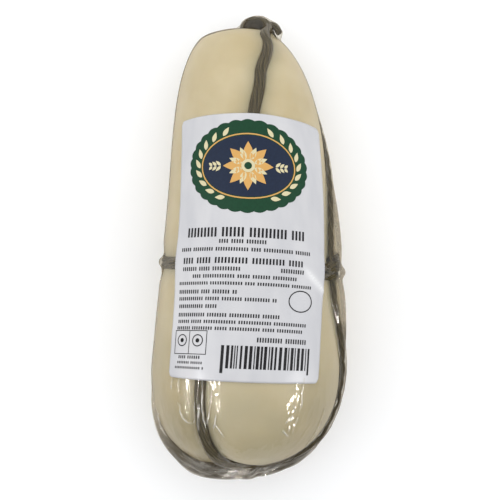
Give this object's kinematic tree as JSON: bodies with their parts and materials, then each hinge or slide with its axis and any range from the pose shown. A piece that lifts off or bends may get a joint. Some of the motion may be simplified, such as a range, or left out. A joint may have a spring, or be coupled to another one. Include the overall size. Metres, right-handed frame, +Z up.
{
  "type": "provola cheese",
  "caption": "Pear-shaped stretched-curd cheese tied in a cord harness and vacuum-packed in tight clear film with a paper label; it lies on its back.",
  "frame": {"origin": "bottom centre of the whole pack's bounding box, on the surface that the pack lies on", "axes": "+Y along the cheese from its round foot to its tied head, +X to the right as the label is read, +Z up out of the label"},
  "size_m": [0.0838, 0.1992, 0.0743],
  "materials": {
    "cheese": "moist satin cream cheese",
    "cord": "matte twisted natural fibre",
    "film": "clear gloss film",
    "label_paper": "smooth white coated paper",
    "label_ink": "flat print"
  },
  "bodies": {
    "root": {"cheese": "cheese", "cord": "cord", "film_front": "film", "film_back": "film", "label": "label_paper"}
  },
  "joints": []
}
